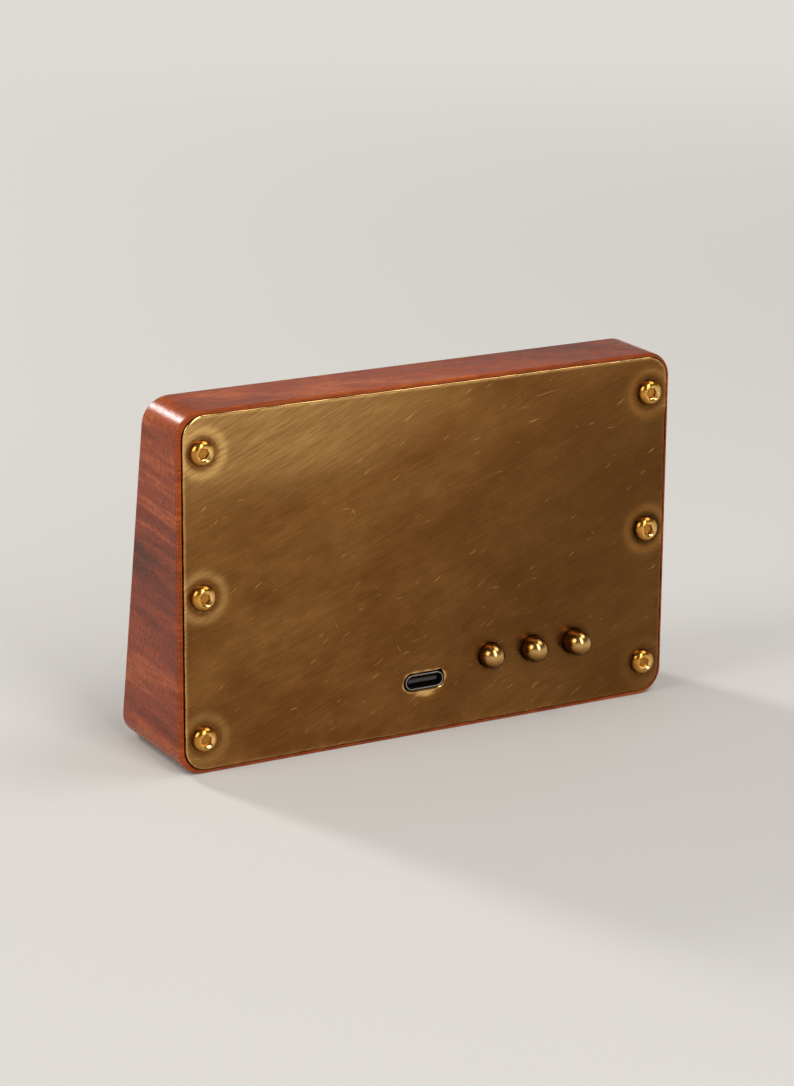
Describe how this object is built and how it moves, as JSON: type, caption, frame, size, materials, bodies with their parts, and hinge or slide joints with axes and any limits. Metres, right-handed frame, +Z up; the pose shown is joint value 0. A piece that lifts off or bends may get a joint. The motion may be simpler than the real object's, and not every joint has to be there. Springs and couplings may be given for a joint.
{
  "type": "nixie tube clock",
  "caption": "Small wedge-shaped wooden desk clock with a row of oval glass display tubes, a screwed brass back, domed push buttons and a USB-C inlet.",
  "frame": {"origin": "centre of the flat wooden underside, halfway between its front and back edges", "axes": "+Z up, tubes face -Y, brass back faces +Y, +X to the right seen from the front"},
  "size_m": [0.114, 0.042, 0.075],
  "materials": {
    "wood": "oiled reddish-brown hardwood, satin",
    "sheet_brass": "finely scratched sheet brass",
    "turned_brass": "polished",
    "button_brass": "turned and polished",
    "bezel_brass": "satin",
    "tube_glass": "clear",
    "electrode_metal": "dark nickel",
    "pin_metal": "tinned",
    "black_plastic": "moulded",
    "board": "solder mask",
    "zinc_steel": "plated",
    "port_steel": "pressed",
    "chip_plastic": "moulded",
    "resistor_body": "lacquered",
    "contact_gold": "gold flash",
    "ferrite": "moulded ferrite",
    "capacitor_sleeve": "shrink sleeve"
  },
  "bodies": {
    "clock": {"wooden_case": "wood", "back_plate": "sheet_brass", "plate_screws": "turned_brass", "threaded_inserts": "turned_brass", "tube_glass_1": "tube_glass", "tube_foot_1": "tube_glass", "tube_anode_1": "electrode_metal", "tube_digits_1": "electrode_metal", "tube_bezel_1": "bezel_brass", "tube_glass_2": "tube_glass", "tube_foot_2": "tube_glass", "tube_anode_2": "electrode_metal", "tube_digits_2": "electrode_metal", "tube_bezel_2": "bezel_brass", "tube_glass_3": "tube_glass", "tube_foot_3": "tube_glass", "tube_anode_3": "electrode_metal", "tube_digits_3": "electrode_metal", "tube_bezel_3": "bezel_brass", "tube_glass_4": "tube_glass", "tube_foot_4": "tube_glass", "tube_anode_4": "electrode_metal", "tube_digits_4": "electrode_metal", "tube_bezel_4": "bezel_brass", "tube_pins": "pin_metal", "tube_sockets": "black_plastic", "colon_lamp_glass": "tube_glass", "colon_lamp_seals": "tube_glass", "colon_electrodes": "electrode_metal", "colon_eyelets": "bezel_brass", "display_board": "board", "display_pillars": "turned_brass", "display_screws": "zinc_steel", "driver_chips": "chip_plastic", "anode_resistors": "resistor_body", "cell_holder": "black_plastic", "backup_cell": "zinc_steel", "control_board": "board", "control_pillars": "turned_brass", "control_screws": "zinc_steel", "link_pins": "contact_gold", "link_strip": "black_plastic", "supply_inductor": "ferrite", "supply_capacitor": "capacitor_sleeve", "supply_transistor": "chip_plastic", "processor": "chip_plastic", "clock_chip": "chip_plastic", "clock_crystal": "pin_metal", "usb_shell": "port_steel", "usb_insulator": "black_plastic", "usb_contacts": "contact_gold", "switch_bodies": "black_plastic", "switch_brackets": "zinc_steel", "switch_domes": "zinc_steel"},
    "button_1": {"button_cap_1": "button_brass", "switch_stem_1": "black_plastic"},
    "button_2": {"button_cap_2": "button_brass", "switch_stem_2": "black_plastic"},
    "button_3": {"button_cap_3": "button_brass", "switch_stem_3": "black_plastic"}
  },
  "joints": [
    {"name": "button_1_press", "type": "slide", "parent": "clock", "child": "button_1", "axis": [0, -1, 0], "range_m": [0, 0.00025], "stiffness_N_per_m": 2400, "springref_m": -0.0004},
    {"name": "button_2_press", "type": "slide", "parent": "clock", "child": "button_2", "axis": [0, -1, 0], "range_m": [0, 0.00025], "stiffness_N_per_m": 2400, "springref_m": -0.0004},
    {"name": "button_3_press", "type": "slide", "parent": "clock", "child": "button_3", "axis": [0, -1, 0], "range_m": [0, 0.00025], "stiffness_N_per_m": 2400, "springref_m": -0.0004}
  ]
}
